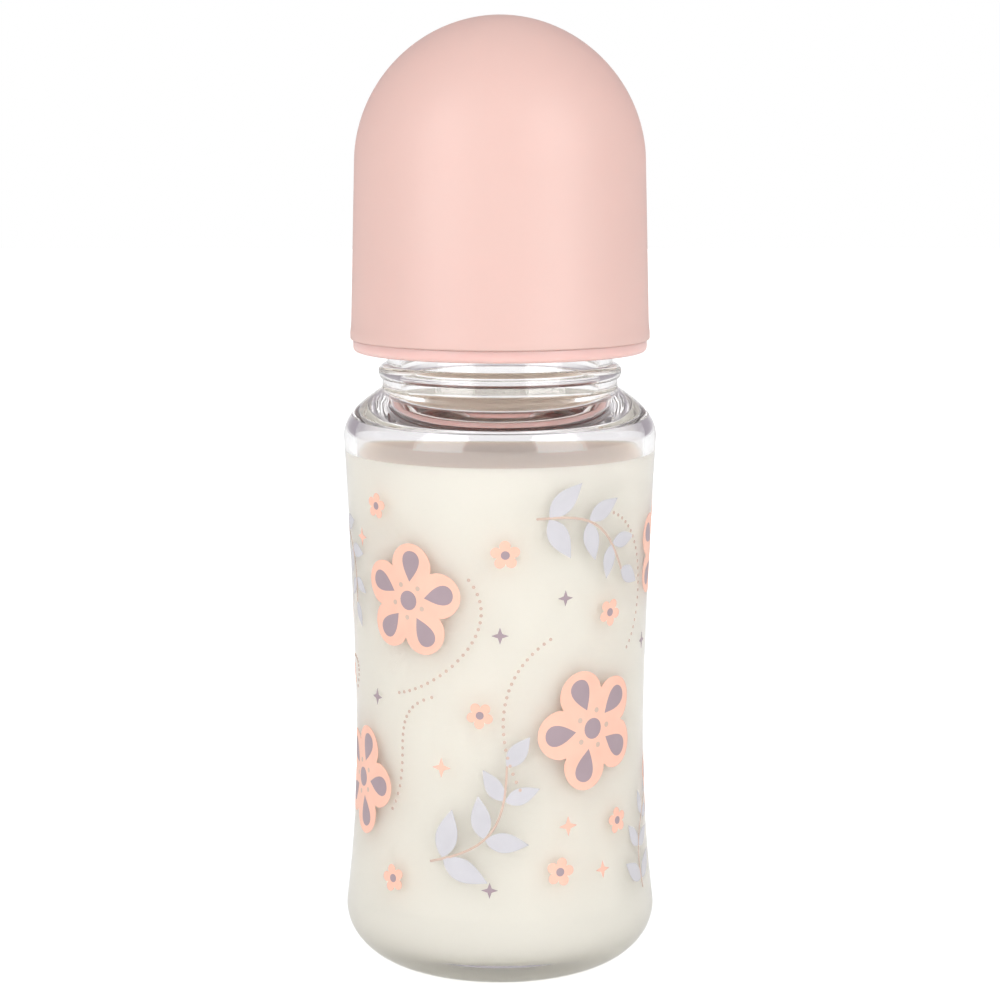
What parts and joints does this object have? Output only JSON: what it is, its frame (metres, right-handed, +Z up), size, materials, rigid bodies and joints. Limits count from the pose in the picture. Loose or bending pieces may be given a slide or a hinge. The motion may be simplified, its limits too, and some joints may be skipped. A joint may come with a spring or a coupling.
{
  "type": "baby bottle",
  "caption": "Wide-neck waisted glass baby bottle with milk, silicone teat, pink screw ring and domed protective cap.",
  "frame": {"origin": "middle of the foot that the bottle stands on, at the bottom of the object", "axes": "+Z up along the bottle's axis, towards the cap; -Y is the front, where the camera stood; +X to the right"},
  "size_m": [0.064, 0.064, 0.1931],
  "materials": {
    "glass": "clear polished glass",
    "milk": "opaque cream-white liquid",
    "silicone": "satin translucent silicone",
    "ring_plastic": "satin moulded polypropylene",
    "cap_plastic": "satin translucent moulded polypropylene"
  },
  "bodies": {
    "bottle": {"glass_bottle": "glass", "milk": "milk"},
    "teat": {"teat": "silicone"},
    "ring": {"screw_ring": "ring_plastic"},
    "cap": {"protective_cap": "cap_plastic"}
  },
  "joints": [
    {"name": "closure_rise", "type": "slide", "parent": "bottle", "child": "teat", "axis": [0, 0, 1], "range_m": [0, 0.0225]},
    {"name": "ring_turn", "type": "hinge", "parent": "teat", "child": "ring", "pos_m": [0, 0, 0.135], "axis": [0, 0, 1], "range_deg": [0, 1800]},
    {"name": "cap_pull", "type": "slide", "parent": "ring", "child": "cap", "axis": [0, 0, 1], "range_m": [0, 0.07]}
  ],
  "couplings": [
    {"joint": "closure_rise", "follows": "ring_turn", "m_per_rad": 0.00071619}
  ]
}
